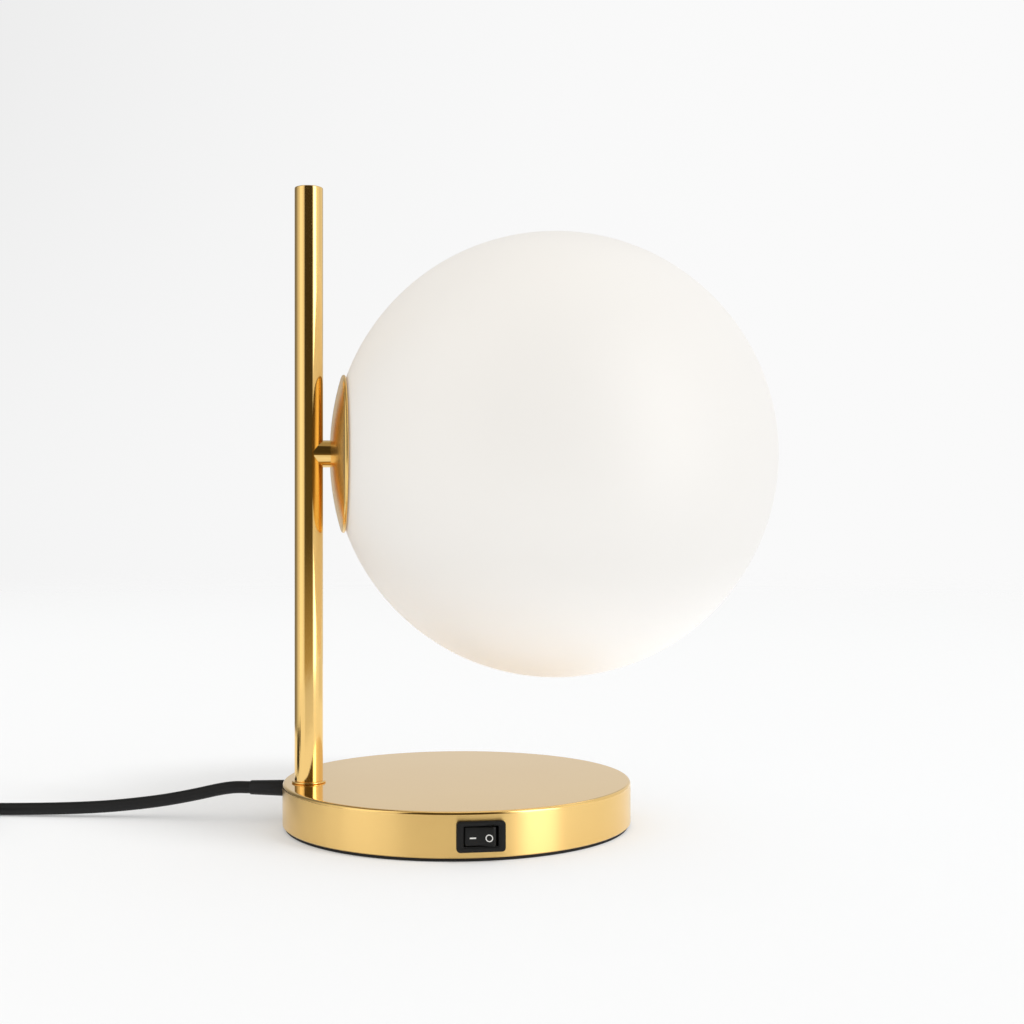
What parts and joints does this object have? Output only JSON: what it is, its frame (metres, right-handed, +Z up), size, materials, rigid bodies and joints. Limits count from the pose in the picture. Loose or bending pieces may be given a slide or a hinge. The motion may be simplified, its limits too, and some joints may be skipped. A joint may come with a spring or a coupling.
{
  "type": "globe table lamp",
  "caption": "Table lamp with an opal glass globe held sideways by a dish on an upright brass post, over a round weighted brass base with a rocker switch and a black mains cord.",
  "frame": {"origin": "centre of the base's underside, on the table", "axes": "+Z up along the post, +X from the post towards the globe, -Y the front, with the switch"},
  "size_m": [0.4619, 0.2, 0.2825],
  "materials": {
    "brass": "polished, lacquered",
    "zinc_steel": "zinc plated",
    "cast_iron": "as cast",
    "black_pad": "matt foam",
    "switch_black": "satin black",
    "cord_black": "satin black PVC",
    "nickel": "nickel plated",
    "clear_nylon": "natural nylon",
    "ceramic_white": null,
    "frosted_glass": "frosted",
    "opal_glass": "satin opal",
    "wire_brown": "PVC insulation"
  },
  "bodies": {
    "lamp": {"base_shell": "brass", "post_tube": "brass", "post_foot_ring": "brass", "post_cap": "brass", "side_spigot": "brass", "dish": "brass", "post_insert": "brass", "post_foot": "brass", "globe_carrier": "brass", "ballast_stud": "zinc_steel", "ballast_washer": "zinc_steel", "ballast_nut": "zinc_steel", "bottom_cover": "zinc_steel", "cover_screws": "zinc_steel", "post_washer": "zinc_steel", "post_nut": "zinc_steel", "arm_nipple": "zinc_steel", "dish_spacer": "zinc_steel", "head_washer": "zinc_steel", "head_nut": "zinc_steel", "holder_bracket": "zinc_steel", "holder_screws": "zinc_steel", "base_ballast": "cast_iron", "foot_pad": "black_pad", "switch_housing": "switch_black", "cord_bush": "cord_black", "cord_entry": "cord_black", "cord_run": "cord_black", "cord_coil": "cord_black", "cord_tail": "cord_black", "plug_relief": "cord_black", "plug_body": "cord_black", "switch_terminals": "nickel", "plug_pins": "nickel", "terminal_block": "clear_nylon", "lampholder": "ceramic_white", "supply_wires": "wire_brown", "switch_wires": "wire_brown", "lamp_wires": "wire_brown"},
    "rocker": {"switch_rocker": "switch_black"},
    "globe_ring": {"globe_collar": "brass"},
    "globe": {"glass_globe": "opal_glass"},
    "bulb": {"bulb": "frosted_glass", "bulb_pins": "nickel"}
  },
  "joints": [
    {"name": "rocker_tilt", "type": "hinge", "parent": "lamp", "child": "rocker", "pos_m": [0, -0.0754, 0.0105], "axis": [0, 0, 1], "range_deg": [0, 17]},
    {"name": "globe_advance", "type": "slide", "parent": "lamp", "child": "globe_ring", "axis": [1, 0, 0], "range_m": [0, 0.009]},
    {"name": "globe_turn", "type": "hinge", "parent": "globe_ring", "child": "globe", "pos_m": [0.0444, 0, 0.165], "axis": [1, 0, 0], "range_deg": [0, 1080]},
    {"name": "bulb_pull", "type": "slide", "parent": "lamp", "child": "bulb", "axis": [1, 0, 0], "range_m": [0, 0.012]}
  ],
  "couplings": [
    {"joint": "globe_advance", "follows": "globe_turn", "m_per_rad": 0.00047745}
  ]
}
